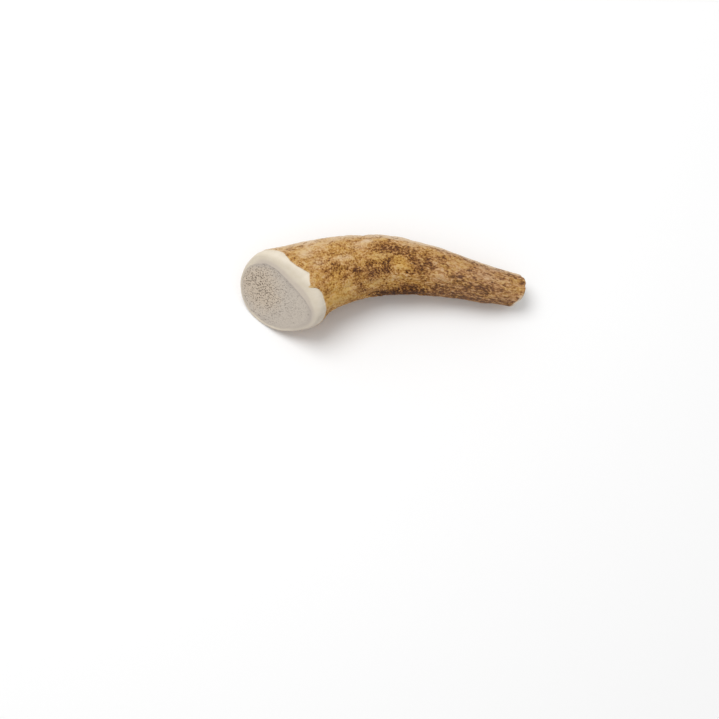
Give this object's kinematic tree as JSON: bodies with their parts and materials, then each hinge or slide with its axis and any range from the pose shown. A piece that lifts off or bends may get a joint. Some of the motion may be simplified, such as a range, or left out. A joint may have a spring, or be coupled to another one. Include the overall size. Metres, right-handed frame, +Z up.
{
  "type": "deer antler piece",
  "caption": "Curved, tapering length of deer antler with brown bark, a slanted sawn face showing its spongy core, and a sawn tip.",
  "frame": {"origin": "middle of the underside of the antler's box, on the surface that the antler lies on", "axes": "+X along the beam towards the small tip, +Y to the outside of the arch, +Z up"},
  "size_m": [0.1513, 0.052, 0.0378],
  "materials": {
    "antler_bone": "satin"
  },
  "bodies": {
    "root": {"antler": "antler_bone"}
  },
  "joints": []
}
